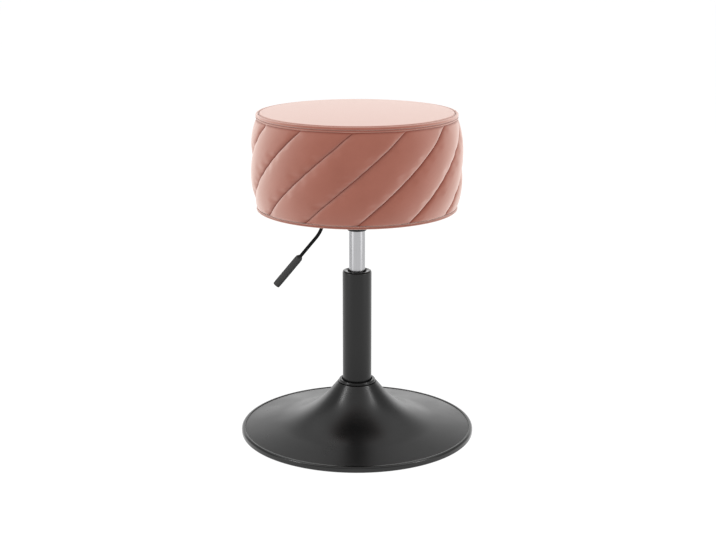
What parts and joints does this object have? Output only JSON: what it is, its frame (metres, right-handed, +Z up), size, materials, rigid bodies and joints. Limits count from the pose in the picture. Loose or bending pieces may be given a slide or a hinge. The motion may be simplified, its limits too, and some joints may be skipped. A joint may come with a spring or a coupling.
{
  "type": "vanity stool",
  "caption": "Round backless stool with a channelled velvet seat that swivels and rises on a lever-released gas lift over a trumpet base.",
  "frame": {"origin": "on the floor under the middle of the round base", "axes": "+Z up along the column; the release lever points along -X"},
  "size_m": [0.406, 0.406, 0.564],
  "materials": {
    "velvet": "short pile velvet",
    "satin_black_steel": "satin powder coat",
    "gloss_black_plastic": "moulded gloss",
    "black_grip_plastic": "moulded with fine ribs",
    "black_rubber": "moulded matte",
    "chromed_steel": "satin chrome",
    "zinc_plated_steel": "zinc plate",
    "bearing_steel": "ground",
    "cast_iron": "as cast",
    "hub_steel": "primer",
    "white_acetal": "machined",
    "plywood": "sanded birch",
    "foam": "cut foam",
    "black_lining": "non-woven"
  },
  "bodies": {
    "base": {"edge_ring": "black_rubber", "base_shell": "satin_black_steel", "base_plate": "zinc_plated_steel", "base_weight": "cast_iron", "hub_socket": "hub_steel", "hub_bolts": "zinc_plated_steel", "hub_washers": "zinc_plated_steel", "cover_screws": "zinc_plated_steel", "neck_ring": "gloss_black_plastic", "column_tube": "satin_black_steel", "column_end_plate": "bearing_steel", "guide_bush": "gloss_black_plastic", "lower_race": "bearing_steel"},
    "bearing": {"ball_cage": "white_acetal", "bearing_balls": "bearing_steel"},
    "swivel_rod": {"upper_race": "bearing_steel", "buffer_washer": "zinc_plated_steel", "rubber_buffer": "black_rubber", "piston_rod": "bearing_steel", "rod_clip": "zinc_plated_steel", "foot_washer": "zinc_plated_steel", "piston": "white_acetal", "piston_seal": "black_rubber", "piston_nut": "bearing_steel"},
    "seat": {"lift_cylinder": "chromed_steel", "pressure_tube": "bearing_steel", "rod_guide": "white_acetal", "rod_seal": "black_rubber", "valve_body": "white_acetal", "seat_socket": "satin_black_steel", "mount_plate": "satin_black_steel", "lever_bracket": "zinc_plated_steel", "pivot_pin": "zinc_plated_steel", "plate_bolts": "zinc_plated_steel", "plate_washers": "zinc_plated_steel", "tee_nuts": "zinc_plated_steel", "seat_board": "plywood", "dust_cover": "black_lining", "foam_core": "foam", "side_band": "velvet", "bottom_hem": "velvet", "hem_staples": "zinc_plated_steel", "top_piping": "velvet", "top_panel": "velvet"},
    "lever": {"lever_rod": "satin_black_steel", "lever_grip": "black_grip_plastic", "pivot_sleeve": "zinc_plated_steel"},
    "valve_pin": {"release_pin": "bearing_steel"}
  },
  "joints": [
    {"name": "swivel", "type": "hinge", "parent": "base", "child": "swivel_rod", "pos_m": [0, 0, 0.02], "axis": [0, 0, 1], "continuous": true},
    {"name": "bearing_spin", "type": "hinge", "parent": "base", "child": "bearing", "pos_m": [0, 0, 0.019], "axis": [0, 0, 1], "continuous": true},
    {"name": "gas_lift", "type": "slide", "parent": "swivel_rod", "child": "seat", "axis": [0, 0, 1], "range_m": [-0.06, 0.065]},
    {"name": "lever_lift", "type": "hinge", "parent": "seat", "child": "lever", "pos_m": [-0.026, 0, 0.3873], "axis": [0, 1, 0], "range_deg": [0, 6.6], "stiffness_Nm_per_rad": 3, "springref_deg": -2.86},
    {"name": "pin_press", "type": "slide", "parent": "seat", "child": "valve_pin", "axis": [0, 0, 1], "range_m": [-0.003, 0]}
  ],
  "couplings": [
    {"joint": "bearing_spin", "follows": "swivel", "ratio": 0.5},
    {"joint": "pin_press", "follows": "lever_lift", "m_per_rad": -0.026}
  ]
}
